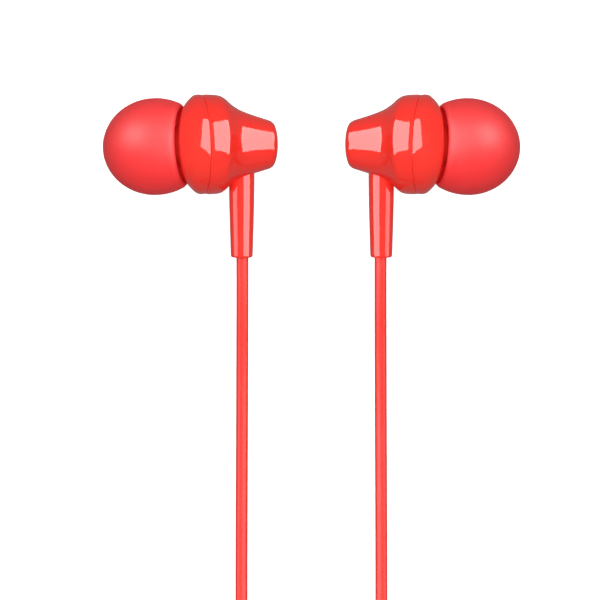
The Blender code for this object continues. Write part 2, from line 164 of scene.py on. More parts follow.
def rounded(points: list[Point], radius: float, steps: int = 5) -> list[Point]:
    """Rounds every corner of an open outline, apart from its two ends.

    Args:
        points: The outline's corners, as (s, radius) pairs.
        radius: How far from a corner its rounding starts.
        steps: How many points each rounding has.

    Returns:
        The outline with its corners rounded.
    """
    corners = [Vector(point) for point in points]
    found = [corners[0]]
    for before, here, after in zip(corners, corners[1:], corners[2:]):
        reach_in = min(radius, (before - here).length / 2)
        reach_out = min(radius, (after - here).length / 2)
        start = here + (before - here).normalized() * reach_in
        end = here + (after - here).normalized() * reach_out
        for i in range(steps + 1):
            t = i / steps
            point = (1 - t) ** 2 * start + 2 * t * (1 - t) * here + t * t * end
            if (point - found[-1]).length > SAME_POINT:
                found.append(point)
    return [tuple(point) for point in found + [corners[-1]]]


def ring_matrix(s: float, tilt: float = 0.0, slant: float = 0.0) -> Matrix:
    """A ring's place on an axis.

    Args:
        s: Where it is along X.
        tilt: How far its plane leans about Y, in degrees.
        slant: How far its plane leans about Z, in degrees.

    Returns:
        The ring's matrix.
    """
    turned = Matrix.Rotation(math.radians(slant), 4, "Z") @ Matrix.Rotation(math.radians(-tilt), 4, "Y")
    return Matrix.Translation((s, 0, 0)) @ turned


def circle(radius: float, count: int) -> list[Vector]:
    """Points round a circle in the YZ plane.

    Args:
        radius: The circle's radius.
        count: How many points there are.

    Returns:
        The points in order.
    """
    turn = [math.tau * i / count for i in range(count)]
    return [Vector((0, radius * math.cos(a), radius * math.sin(a))) for a in turn]


def bridge(bm: bmesh.types.BMesh, loops: list[list], closed: bool = False) -> None:
    """Faces from each loop of vertices to the next. A loop of one vertex is a point.

    Args:
        bm: The mesh being built.
        loops: The loops in order.
        closed: Whether the last is joined to the first. If not, both ends are capped.
    """
    following = loops[1:] + loops[:1] if closed else loops[1:]
    for near, far in zip(loops, following):
        count = max(len(near), len(far))
        for i in range(count if count > 1 else 0):
            j = (i + 1) % count
            corners = [near[i % len(near)], near[j % len(near)], far[j % len(far)], far[i % len(far)]]
            bm.faces.new(list(dict.fromkeys(corners)))
    if not closed and len(loops[0]) > 1:
        bm.faces.new(loops[0])
    if not closed and len(loops[-1]) > 1:
        bm.faces.new(loops[-1][::-1])


@dataclass
class Lathe:
    """Makes meshes from rings about an axis.

    Attributes:
        place: The matrix from the axis's own frame, in millimetres, to the row's, in millimetres.
        segments: How many points a ring has.
        crease: The angle in degrees over which an edge is shaded sharp.
    """

    place: Matrix
    segments: int = 128
    crease: float = 32.0

    def loft(self, name: str, rings: list[tuple[Matrix, float]], closed: bool = True) -> Object:
        """Joins rings with faces.

        Args:
            name: The new object's name.
            rings: Each ring's place and radius. A radius of 0 is a point on the axis.
            closed: Whether the last ring is joined to the first.

        Returns:
            The object, linked to the scene.
        """
        bm = bmesh.new()
        loops = []
        for place, radius in rings:
            corners = circle(radius, self.segments if radius > 0 else 1)
            loops.append([bm.verts.new(self.place @ place @ corner) for corner in corners])
        bridge(bm, loops, closed)
        return add_mesh(name, bm, self.crease)

    def turned(self, name: str, profile: list[Point], closed: bool = True) -> Object:
        """Turns a profile of (s, radius) points about the axis.

        Args:
            name: The new object's name.
            profile: The profile's points.
            closed: Whether the last point is joined to the first.

        Returns:
            The object, linked to the scene.
        """
        return self.loft(name, [(ring_matrix(s), radius) for s, radius in profile], closed)


def add_object(name: str, data: bpy.types.ID) -> Object:
    """Makes an object and links it to the scene.

    Args:
        name: The object's name.
        data: Its mesh, curve, light or camera.

    Returns:
        The object.
    """
    made = bpy.data.objects.new(name, data)
    bpy.context.scene.collection.objects.link(made)
    return made


def add_mesh(name: str, bm: bmesh.types.BMesh, crease: float = 32.0) -> Object:
    """Turns a mesh in millimetres into an object in metres.

    Args:
        name: The object's name.
        bm: The mesh, which is freed.
        crease: The angle in degrees over which an edge is shaded sharp.

    Returns:
        The object, linked to the scene.
    """
    bmesh.ops.recalc_face_normals(bm, faces=bm.faces)
    bmesh.ops.scale(bm, vec=(MM, MM, MM), verts=bm.verts)
    mesh = bpy.data.meshes.new(name)
    bm.to_mesh(mesh)
    bm.free()
    mesh.shade_smooth()
    mesh.set_sharp_from_angle(angle=math.radians(crease))
    return add_object(name, mesh)


def frames_along(points: list[Vector]) -> list[Matrix]:
    """Frames that follow a line without twisting, each with X along it.

    Args:
        points: The line's points.

    Returns:
        One matrix for each point.
    """
    ways = [(b - a).normalized() for a, b in zip(points, points[1:])]
    ways = [ways[0]] + [(a + b).normalized() for a, b in zip(ways, ways[1:])] + [ways[-1]]
    across = ways[0].orthogonal().normalized()
    found = []
    for point, way in zip(points, ways):
        across = (across - way * across.dot(way)).normalized()
        turned = Matrix((way, across, way.cross(across))).transposed()
        found.append(Matrix.Translation(point) @ turned.to_4x4())
    return found


def add_wires(name: str, lines: list[list[Vector]], radius: float, sides: int = 6) -> Object:
    """Thin round wires along several lines, in one mesh.

    Args:
        name: The object's name.
        lines: The points of each wire's middle, in the row's millimetres.
        radius: The wires' radius.
        sides: How many sides a wire has.

    Returns:
        The object, linked to the scene.
    """
    bm = bmesh.new()
    corners = circle(radius, sides)
    for line in lines:
        bridge(bm, [[bm.verts.new(place @ corner) for corner in corners] for place in frames_along(line)])
    return add_mesh(name, bm)


# ---- finishes


class Graph:
    """A material's node tree, with short calls that add nodes to it."""

    def __init__(self, name: str) -> None:
        """Starts a material.

        Args:
            name: The material's name.
        """
        self.material = bpy.data.materials.new(name)
        self.material.use_nodes = True
        self.tree = self.material.node_tree
        self.shader = self.tree.nodes["Principled BSDF"]
        self.place = self.add("ShaderNodeTexCoord").outputs["Object"]

    def add(self, kind: str, **settings: object) -> bpy.types.Node:
        """Adds a node.

        Args:
            kind: The node's type name.
            **settings: Values of the node's own properties.

        Returns:
            The node.
        """
        node = self.tree.nodes.new(kind)
        for name, value in settings.items():
            setattr(node, name, value)
        return node

    def join(self, output: Socket, target: Socket) -> None:
        """Links two sockets.

        Args:
            output: The socket that gives the value.
            target: The socket that takes it.
        """
        self.tree.links.new(output, target)

    def set(self, **values: object) -> None:
        """Sets the shader's own sockets.

        Args:
            **values: The sockets' values, named with _ for each space.
        """
        for name, value in values.items():
            self.shader.inputs[name.replace("_", " ")].default_value = value

    def noise(self, scale: float, detail: float = 3.0, stretch: Point | None = None) -> Socket:
        """Adds a noise.

        Args:
            scale: Features to a metre.
            detail: How many finer layers it has.
            stretch: Scales of the three axes, if they differ.

        Returns:
            The noise's value, from 0 to 1.
        """
        node = self.add("ShaderNodeTexNoise")
        node.inputs["Scale"].default_value = scale
        node.inputs["Detail"].default_value = detail
        where = self.place
        if stretch:
            mapping = self.add("ShaderNodeMapping")
            mapping.inputs["Scale"].default_value = stretch
            self.join(self.place, mapping.inputs["Vector"])
            where = mapping.outputs["Vector"]
        self.join(where, node.inputs["Vector"])
        return node.outputs["Fac"]

    def range(self, value: Socket, low: float, high: float) -> Socket:
        """Maps a noise's middle span to a range.

        Args:
            value: The noise.
            low: What the span's low end becomes.
            high: What its high end becomes.

        Returns:
            The result.
        """
        node = self.add("ShaderNodeMapRange")
        least, most = NOISE_SPAN
        for name, number in (("From Min", least), ("From Max", most), ("To Min", low), ("To Max", high)):
            node.inputs[name].default_value = number
        self.join(value, node.inputs["Value"])
        return node.outputs["Result"]

    def colour(self, value: Socket, first: Colour, second: Colour) -> None:
        """Clouds the shader's colour between two.

        Args:
            value: The noise.
            first: The colour at its low end.
            second: The colour at its high end.
        """
        node = self.add("ShaderNodeMix", data_type="RGBA")
        colours = [socket for socket in node.inputs if socket.type == "RGBA"]
        for socket, colour in zip(colours, (first, second)):
            socket.default_value = (*colour, 1)
        self.join(self.range(value, 0.0, 1.0), node.inputs["Factor"])
        mixed = next(socket for socket in node.outputs if socket.type == "RGBA")
        self.join(mixed, self.shader.inputs["Base Color"])

    def roughen(self, value: Socket, low: float, high: float) -> None:
        """Varies the shader's roughness between two.

        Args:
            value: The noise.
            low: The roughness at its low end.
            high: The roughness at its high end.
        """
        self.join(self.range(value, low, high), self.shader.inputs["Roughness"])

    def bump(self, heights: list[tuple[Socket, float, float]]) -> None:
        """Chains bumps onto the shader's normal.

        Args:
            heights: Each bump's height, strength and depth in metres.
        """
        normal = None
        for height, strength, distance in heights:
            node = self.add("ShaderNodeBump")
            node.inputs["Strength"].default_value = strength
            node.inputs["Distance"].default_value = distance
            self.join(height, node.inputs["Height"])
            if normal:
                self.join(normal, node.inputs["Normal"])
            normal = node.outputs["Normal"]
        self.join(normal, self.shader.inputs["Normal"])


@dataclass(frozen=True)
class MouldedGloss:
    """Polished moulded plastic: a flowing surface, faint clouding and hairline polishing marks."""

    name: str = "polished_red"
    base: Colour = (0.950, 0.031, 0.020)
    clouded: Colour = (0.930, 0.036, 0.024)
    roughness: float = 0.06

    def build(self) -> bpy.types.Material:
        """Makes the material.

        Returns:
            The material.
        """
        graph = Graph(self.name)
        clouds = graph.noise(260.0, 2.0)
        marks = graph.noise(900.0, 4.0, (1.0, 14.0, 14.0))
        graph.colour(clouds, self.base, self.clouded)
        graph.roughen(marks, self.roughness - 0.02, self.roughness + 0.03)
        graph.bump([(graph.noise(330.0, 1.0), 0.02, 0.00006), (marks, 0.02, 0.000004)])
        graph.set(IOR=1.52)
        return graph.material


@dataclass(frozen=True)
class Silicone:
    """Soft silicone with a fine matt texture and a little light passing into it."""

    name: str = "soft_red_silicone"
    base: Colour = (0.950, 0.030, 0.033)
    pale: Colour = (0.950, 0.036, 0.039)

    def build(self) -> bpy.types.Material:
        """Makes the material.

        Returns:
            The material.
        """
        graph = Graph(self.name)
        clouds = graph.noise(420.0, 3.0)
        grain = graph.noise(9000.0, 2.0)
        graph.colour(clouds, self.base, self.pale)
        graph.roughen(grain, 0.46, 0.58)
        graph.bump([(clouds, 0.05, 0.00004), (grain, 0.18, 0.000012)])
        graph.set(IOR=1.40)
        graph.set(Subsurface_Weight=0.35, Subsurface_Radius=(1.0, 0.14, 0.12), Subsurface_Scale=0.0012)
        return graph.material


@dataclass(frozen=True)
class CableJacket:
    """Soft extruded jacket: satin, with faint drawn lines and a slight waviness."""

    name: str = "red_cable_jacket"
    base: Colour = (0.930, 0.034, 0.024)
    worn: Colour = (0.930, 0.042, 0.030)
    roughness: float = 0.30

    def build(self) -> bpy.types.Material:
        """Makes the material.

        Returns:
            The material.
        """
        graph = Graph(self.name)
        waves = graph.noise(240.0, 2.0)
        grain = graph.noise(5200.0, 3.0)
        graph.colour(waves, self.base, self.worn)
        graph.roughen(grain, self.roughness - 0.04, self.roughness + 0.06)
        graph.bump([(waves, 0.12, 0.00005), (grain, 0.10, 0.000010)])
        graph.set(IOR=1.48, Specular_IOR_Level=0.3, Sheen_Weight=0.02, Sheen_Roughness=0.4)
        return graph.material


@dataclass(frozen=True)
class Metal:
    """Bare or plated metal with fine turning or drawing marks."""

    name: str
    base: Colour
    dull: Colour
    roughness: float = 0.22
    stretch: Point = (1.0, 16.0, 16.0)

    def build(self) -> bpy.types.Material:
        """Makes the material.

        Returns:
            The material.
        """
        graph = Graph(self.name)
        marks = graph.noise(1500.0, 4.0, self.stretch)
        tarnish = graph.noise(500.0, 3.0)
        graph.colour(tarnish, self.base, self.dull)
        graph.roughen(marks, self.roughness - 0.06, self.roughness + 0.08)
        graph.bump([(marks, 0.10, 0.000008)])
        graph.set(Metallic=1.0)
        return graph.material


@dataclass(frozen=True)
class Dull:
    """A dull, grainy surface such as felt, moulded black plastic or a board's lacquer."""

    name: str
    base: Colour
    other: Colour
    roughness: float
    grain: float
    depth: float
    fuzz: float = 0.0

    def build(self) -> bpy.types.Material:
        """Makes the material.

        Returns:
            The material.
        """
        graph = Graph(self.name)
        grain = graph.noise(self.grain, 5.0)
        clouds = graph.noise(self.grain / 6, 2.0)
        graph.colour(clouds, self.base, self.other)
        graph.roughen(grain, max(0.05, self.roughness - 0.08), min(1.0, self.roughness + 0.08))
        graph.bump([(grain, 0.4, self.depth)])
        graph.set(Sheen_Weight=self.fuzz)
        return graph.material


FINISHES = {
    Slot.GLOSS: MouldedGloss(),
    Slot.SILICONE: Silicone(),
    Slot.JACKET: CableJacket(),
    Slot.STEEL: Metal("plated_steel", (0.58, 0.59, 0.61), (0.47, 0.48, 0.50)),
    Slot.GOLD: Metal("gold_plate", (0.95, 0.70, 0.32), (0.86, 0.60, 0.25), 0.14),
    Slot.COPPER: Metal("enamelled_copper", (0.80, 0.34, 0.16), (0.66, 0.25, 0.11), 0.25),
    Slot.MAGNET: Metal("nickel_magnet", (0.42, 0.42, 0.43), (0.33, 0.33, 0.34), 0.28),
    Slot.FILM: Dull("diaphragm_film", (0.62, 0.66, 0.70), (0.54, 0.58, 0.63), 0.18, 900.0, 0.00001),
    Slot.BLACK: Dull("black_moulding", (0.018, 0.018, 0.02), (0.03, 0.03, 0.032), 0.45, 4000.0, 0.00002),
    Slot.FELT: Dull("damping_felt", (0.80, 0.78, 0.72), (0.66, 0.64, 0.58), 0.95, 6000.0, 0.00006, 0.4),
    Slot.BOARD: Dull("board_lacquer", (0.02, 0.16, 0.06), (0.03, 0.21, 0.08), 0.35, 2500.0, 0.00001),
}


@dataclass
class Paintbox:
    """Holds each finish's material, and puts it on pieces and on the frame's own nodes."""

    made: dict[Slot, bpy.types.Material] = field(default_factory=dict)

    def material(self, slot: Slot) -> bpy.types.Material:
        """The material of a slot, made the first time that it's asked for.

        Args:
            slot: The slot.

        Returns:
            Its material.
        """
        if slot not in self.made:
            self.made[slot] = FINISHES[slot].build()
        return self.made[slot]

    def dress(self, piece: Object, slot: Slot) -> None:
        """Gives a new piece its finish.

        Args:
            piece: The piece.
            slot: The slot that it takes its finish from.
        """
        piece.data.materials.clear()
        piece.data.materials.append(self.material(slot))

    def dress_nodes(self) -> None:
        """Gives every node of the frame the finish that its slot names."""
        slots = {part["node"]: Slot(part["material_slot"]) for part in frame["record"]["subparts"]}
        for name, node in frame["nodes"].items():
            for index in range(max(1, len(node.material_slots))):
                if not node.material_slots:
                    node.data.materials.append(None)
                node.material_slots[index].material = self.material(slots[name])


def place_piece(piece: Object, slot: Slot, body: str, nodes: tuple[str, ...], paint: Paintbox) -> None:
    """Dresses a piece, rides it on its body and lets it stand for its nodes.

    Args:
        piece: The piece.
        slot: The slot that it takes its finish from.
        body: The body that it moves with.
        nodes: The frame's nodes that it stands for.
        paint: The finishes.
    """
    paint.dress(piece, slot)
    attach(piece, body)
    if nodes:
        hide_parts(*nodes)
    LOG.info("%s: %d vertices", piece.name, len(getattr(piece.data, "vertices", ())))


# ---- the bud


@dataclass
class Bud:
    """One earphone: its two shells, stem, silicone tip and nozzle mesh.

    Attributes:
        side: Which ear it is for.
        magnet_s: Where the magnet's middle is along the housing's axis.
        mesh_s: Where the nozzle mesh's middle is along the nozzle's axis.
        stem_s: Where the stem meets the housing's axis.
        stem_dip: How far the stem falls towards its end, in degrees.
        seam_slant: How far the parting line slants, in degrees.
        slant_end: Where along the axis the slant has faded out.
        slant_span: Over how far it fades.
    """

    side: Side
    magnet_s: float = 2.60
    mesh_s: float = -5.18
    stem_s: float = 5.06
    stem_dip: float = 6.0
    stem_end: float = 14.62
    stem_bore: float = 0.9
    tip_equator: float = -3.4
    tip_radius: float = 6.265
    tip_front: float = 6.8
    tip_rear: float = 7.0
    tip_rim: float = 3.8
    tip_wall: float = 0.55
    sleeve_radius: float = 3.15
    sleeve_bore: float = 2.57
    sleeve_end: float = 1.9
    sound_bore: float = 1.55
    nozzle_end: float = -5.5
    nozzle_radius: float = 2.3
    nozzle_lip: float = 2.5
    nozzle_bore: float = 1.45
    seam_slant: float = 2.0
    slant_end: float = 3.0
    slant_span: float = 2.4
    mesh_radius: float = 1.60
    mesh_pitch: float = 0.19
    wire_radius: float = 0.042
    weave_lift: float = 0.045

    def node(self, part: str) -> str:
        """The name of one of this bud's nodes, joints, bodies or pieces.

        Args:
            part: The name without its side.

        Returns:
            The whole name.
        """
        return f"{self.side.word}_{part}"

    def way(self, joint: str) -> Vector:
        """The axis of one of this bud's joints.

        Args:
            joint: The joint's name without its side.

        Returns:
            The axis, of length 1.
        """
        name = self.node(joint)
        return Vector(next(j["axis"] for j in frame["joints"] if j["name"] == name)).normalized()

    def middle(self, part: str) -> Vector:
        """The middle of a node's box.

        Args:
            part: The node's name without its side.

        Returns:
            The middle, in millimetres.
        """
        low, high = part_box(self.node(part))
        return (Vector(low) + Vector(high)) / 2 / MM

    def axis_frame(self, forward: Vector, middle: Vector, middle_s: float) -> Matrix:
        """A frame whose X points back along an axis.

        Args:
            forward: The way that the axis points, out of the bud's front.
            middle: A point on the axis, in millimetres.
            middle_s: Where that point is along the axis.

        Returns:
            The frame's matrix, with its Y level.
        """
        back = -forward
        level = Vector((0, 0, 1)).cross(back).normalized()
        turned = Matrix((back, level, back.cross(level))).transposed()
        return Matrix.Translation(middle - back * middle_s) @ turned.to_4x4()

    def housing_frame(self) -> Matrix:
        """The housing's frame, with its origin in the parting plane.

        Returns:
            The frame's matrix.
        """
        return self.axis_frame(self.way("diaphragm_travel"), self.middle("magnet"), self.magnet_s)

    def nozzle_frame(self) -> Matrix:
        """The nozzle's frame, with its origin where it leaves the housing's axis.

        Returns:
            The frame's matrix.
        """
        return self.axis_frame(self.way("ear_tip_pull"), self.middle("nozzle_mesh"), self.mesh_s)

    def stem_frame(self) -> Matrix:
        """The stem's frame, with its origin on the housing's axis.

        Returns:
            The frame's matrix.
        """
        start = self.housing_frame() @ Vector((self.stem_s, 0, 0))
        dip = math.radians(self.stem_dip)
        return self.axis_frame(Vector((0, math.cos(dip), math.sin(dip))), start, 0.0)

    def ring(self, s: float, tilt: float = 0.0) -> Matrix:
        """A housing ring's place. The parting line is slanted, and the slant fades towards the waist.

        Args:
            s: Where the ring is along the axis.
            tilt: How far its plane leans about Y, in degrees.

        Returns:
            The ring's matrix.
        """
        share = min(1.0, max(0.0, (self.slant_end - s) / self.slant_span))
        return ring_matrix(s, tilt, -self.side.value * self.seam_slant * share)

    def front_shell(self) -> Object:
        """The front moulding: a rounded shoulder that leans over into the nozzle, and its inside.

        Returns:
            The piece.
        """
        lathe = Lathe(self.housing_frame())
        body = [
            (-0.10, 6.42, 0.0), (-0.46, 6.45, 1.5), (-0.85, 6.39, 5.0), (-1.24, 6.19, 10.0),
            (-1.64, 5.79, 15.0), (-1.93, 5.37, 19.0), (-2.06, 5.08, 21.0), (-2.10, 4.80, 22.0),
            (-2.20, 4.20, 22.6), (-2.32, 3.50, 23.0),
        ]
        lip = [(-0.012, 5.60, 0.0), (-0.012, 6.33, 0.0), (-0.05, 6.39, 0.0)]
        outside = lip + smooth(body, 7)
        neck = [(-0.25, 2.75), (-0.55, 2.42), (-0.85, self.nozzle_radius)]
        groove = [
            (self.nozzle_end + 0.85, self.nozzle_radius),
            (self.nozzle_end + 0.68, self.nozzle_lip),
            (self.nozzle_end + 0.30, self.nozzle_lip),
            (self.nozzle_end, self.nozzle_lip - 0.28),
            (self.nozzle_end, 1.75),
            (self.nozzle_end + 0.5, 1.75),
            (self.nozzle_end + 0.5, self.nozzle_bore),
            (-0.4, self.nozzle_bore),
            (0.35, 2.1),
        ]
        nozzle = smooth(neck, 5) + rounded(groove, 0.09, 4)
        inside = [
            (-1.30, 3.50, 20.0), (-1.00, 4.90, 17.0), (0.50, 5.03, 0.0), (1.00, 5.03, 0.0),
            (1.00, 5.60, 0.0),
        ]
        to_nozzle = self.housing_frame().inverted() @ self.nozzle_frame()
        rings = [(self.ring(s, tilt), radius) for s, radius, tilt in outside]
        rings += [(to_nozzle @ ring_matrix(s), radius) for s, radius in nozzle]
        rings += [(self.ring(s, tilt), radius) for s, radius, tilt in inside]
        return lathe.loft(self.node("front_moulding"), rings)

    def rear_shell(self) -> Object:
        """The rear moulding: the parting bead, the band, the waisted tail and its domed end.

        Returns:
            The piece.
        """
        bead = [
            (1.08, 5.68), (0.012, 5.68), (0.012, 6.33), (0.05, 6.385), (0.31, 6.425), (0.345, 6.395),
            (0.38, 6.43),
        ]
        sweep = [
            (0.46, 6.45), (1.00, 6.44), (1.60, 6.40), (2.10, 6.31), (2.40, 6.19), (2.69, 6.00),
            (3.00, 5.74), (3.30, 5.46), (3.60, 5.21), (3.87, 5.01), (4.35, 4.69), (4.80, 4.46),
            (5.40, 4.20), (6.00, 3.98), (6.70, 3.74), (7.40, 3.52), (8.00, 3.34), (8.60, 3.15),
            (8.96, 2.96), (9.20, 2.72), (9.34, 2.40), (9.46, 2.02), (9.53, 1.50), (9.57, 0.80),
        ]
        inside = [(8.6, 0.0), (8.6, 2.2), (7.2, 2.76), (5.4, 3.42), (3.9, 4.1), (3.0, 4.4)]
        inside += [(2.08, 4.4), (2.08, 5.03), (1.08, 5.03)]
        profile = bead + smooth(sweep, 5) + [(9.58, 0.0)] + inside
        rings = [(self.ring(s), radius) for s, radius in profile]
        return Lathe(self.housing_frame()).loft(self.node("rear_moulding"), rings)

    def stem(self) -> Object:
        """The stem: a slim tapered tube with a rounded mouth that the cord comes out of.

        Returns:
            The piece.
        """
        end = self.stem_end
        outside = [
            (3.45, self.stem_bore),
            (3.45, 1.64), (5.2, 1.64), (8.0, 1.60), (11.0, 1.52),
            (end - 0.50, 1.43),
            (end, 1.40),
            (end, self.stem_bore + 0.02),
            (end - 1.2, self.stem_bore),
        ]
        profile = rounded(outside, 0.36, 6)
        return Lathe(self.stem_frame(), 96).turned(self.node("stem_tube"), profile)

    def ear_tip(self) -> Object:
        """The silicone tip: a thin umbrella dome that turns in at its sound opening to a sleeve.

        Returns:
            The piece.
        """
        front = ellipse(self.tip_front, self.tip_radius, -6.44, 0.0, 44)
        rear = ellipse(self.tip_rear, self.tip_radius, 0.0, self.tip_rim - 0.42, 14)[1:]
        hem = [(3.38, 5.48), (3.62, 5.27), (3.76, 5.06), (3.80, 4.93)]
        hem += [(3.76, 4.82), (3.64, 4.80), (3.45, 4.87)]
        half_length = self.tip_front - 1.0
        radius = self.tip_radius - self.tip_wall
        inner = ellipse(half_length, radius, -4.55, 3.05, 30)[::-1]
        sleeve = [
            (-4.30, self.sleeve_radius),
            (self.sleeve_end, self.sleeve_radius),
            (self.sleeve_end, self.sleeve_bore),
            (-2.30, self.sleeve_bore),
            (-2.30, self.sound_bore),
            (-6.42, self.sound_bore),
            (-6.54, self.sound_bore + 0.10),
            (-6.53, self.sound_bore + 0.26),
            front[0],
        ]
        profile = front + rear + smooth(hem, 4)[1:] + inner + rounded(sleeve, 0.22, 6)[1:-1]
        profile = [(s + self.tip_equator, radius) for s, radius in profile]
        return Lathe(self.nozzle_frame()).turned(self.node("silicone_tip"), profile)

    def nozzle_mesh(self) -> Object:
        """The woven wire guard in the nozzle's mouth, inside a pressed rim.

        Returns:
            The piece.
        """
        pitch = self.mesh_pitch
        count = int(self.mesh_radius / pitch)
        frame_here = self.nozzle_frame() @ Matrix.Translation((self.mesh_s, 0, 0))
        lines = []
        for turn in (0, 1):
            for k in range(-count, count + 1):
                half = math.sqrt(max(0.0, self.mesh_radius**2 - (k * pitch) ** 2))
                steps = max(4, int(half * 2 / pitch) * 3)
                line = []
                for i in range(steps + 1):
                    along = -half + 2 * half * i / steps
                    lift = self.weave_lift * math.cos(math.pi * (along / pitch + k + turn))
                    spot = (lift, along, k * pitch) if turn else (lift, k * pitch, along)
                    line.append(frame_here @ Vector(spot))
                lines.append(line)
        rim = [frame_here @ corner for corner in circle(self.mesh_radius + 0.02, 48)]
        rim.append(rim[0])
        guard = add_wires(self.node("mesh_weave"), lines, self.wire_radius)
        band = add_wires(self.node("mesh_rim"), [rim], 0.075, 8)
        band.parent = guard
        return guard

    def build(self, paint: Paintbox) -> None:
        """Builds and dresses the bud's pieces.

        Args:
            paint: The finishes.
        """
        place_piece(self.front_shell(), Slot.GLOSS, "root", (self.node("front_shell"),), paint)
        place_piece(self.rear_shell(), Slot.GLOSS, "root", (self.node("rear_shell"),), paint)
        place_piece(self.stem(), Slot.GLOSS, "root", (self.node("stem"),), paint)
        body = self.node("ear_tip_body")
        place_piece(self.ear_tip(), Slot.SILICONE, body, (self.node("ear_tip"),), paint)
        guard = self.nozzle_mesh()
        place_piece(guard, Slot.STEEL, "root", (self.node("nozzle_mesh"),), paint)
        for rim in guard.children:
            paint.dress(rim, Slot.STEEL)


# ---- cords


@dataclass
class Coil:
    """A round coil: layers that spiral in and out by turns, each one on the last.

    Attributes:
        entry: Where the cord reaches the coil's outermost turn, running along -Y.
        radius: The radius at the middle of its turns.
        turns: How many turns each layer has.
        layers: How many layers there are.
        diameter: The cord's diameter.
        hand: 1 if the coil lies on the entry's -X side, and -1 if on its +X side.
        points_per_turn: How finely it's drawn.
        layer_pitch: How far one layer is above the last, in diameters.
    """

    entry: Vector
    radius: float
    turns: float
    layers: int
    diameter: float
    hand: int
    points_per_turn: int = 36
    layer_pitch: float = 1.03

    def points(self) -> list[Point]:
        """The coil's line from where the cord enters it to where it leaves it.

        Returns:
            The line's points.
        """
        outer = self.radius + self.turns / 2 * self.diameter
        inner = self.radius - self.turns / 2 * self.diameter
        centre = self.entry - Vector((self.hand * outer, 0, 0))
        lift = self.layer_pitch * self.diameter
        count = round(self.layers * self.turns * self.points_per_turn)
        found = []
        for i in range(count + 1):
            turned = self.layers * self.turns * i / count
            layer = min(int(turned / self.turns), self.layers - 1)
            share = turned / self.turns - layer
            inward = share if layer % 2 == 0 else 1 - share
            reach = outer + (inner - outer) * inward
            steps = [turned - self.turns * k + 0.5 for k in range(1, self.layers)]
            height = lift * sum(self.eased(step) for step in steps)
            angle = math.tau * turned
            across = self.hand * reach * math.cos(angle)
            found.append((centre.x + across, centre.y - reach * math.sin(angle), self.entry.z + height))
        return found

    @staticmethod
    def eased(share: float) -> float:
        """Holds a share between 0 and 1, and eases it at both ends.

        Args:
            share: The share.

        Returns:
            The eased share.
        """
        share = min(1.0, max(0.0, share))
        return share * share * (3 - 2 * share)


@dataclass
class Cord:
    """One free cord: a smooth route, a coil on the way, and what is on its end.

    Attributes:
        name: The piece's name.
        diameter: The cord's diameter.
        before: Route points up to the coil.
        coil: The coil.
        after: Route points past the coil.
        nodes: The frame's nodes that it stands for.
        step: How far its points are apart.
    """

    name: str
    diameter: float
    before: list[Point]
    coil: Coil
    after: list[Point]
    nodes: tuple[str, ...]
    step: float = 0.9

    def line(self) -> list[Vector]:
        """The cord's middle line, at even steps.

        Returns:
            The line's points, in millimetres.
        """
        rough = smooth(self.before + self.coil.points() + self.after, 10)
        points = [Vector(point) for point in rough]
        lengths = [(b - a).length for a, b in zip(points, points[1:])]
        count = round(sum(lengths) / self.step)
        found = []
        walked = 0.0
        i = 0
        for k in range(count + 1):
            mark = sum(lengths) * k / count
            while i < len(lengths) - 1 and walked + lengths[i] < mark:
                walked += lengths[i]
                i += 1
            found.append(points[i].lerp(points[i + 1], (mark - walked) / max(1e-9, lengths[i])))
        return found

    def build(self, paint: Paintbox) -> tuple[Object, float]:
        """Makes the cord and dresses it.

        Args:
            paint: The finishes.

        Returns:
            The cord's object, and its length in metres.
        """
        points = self.line()
        curve = bpy.data.curves.new(self.name, "CURVE")
        curve.dimensions = "3D"
        curve.bevel_depth = self.diameter / 2 * MM
        curve.bevel_resolution = 6
        curve.use_fill_caps = True
        spline = curve.splines.new("POLY")
        spline.points.add(len(points) - 1)
        for target, point in zip(spline.points, points):
            target.co = (*(point * MM), 1.0)
        spline.use_smooth = True
        piece = add_object(self.name, curve)
        place_piece(piece, Slot.JACKET, "root", self.nodes, paint)
        length = sum((b - a).length for a, b in zip(points, points[1:])) * MM
        return piece, length


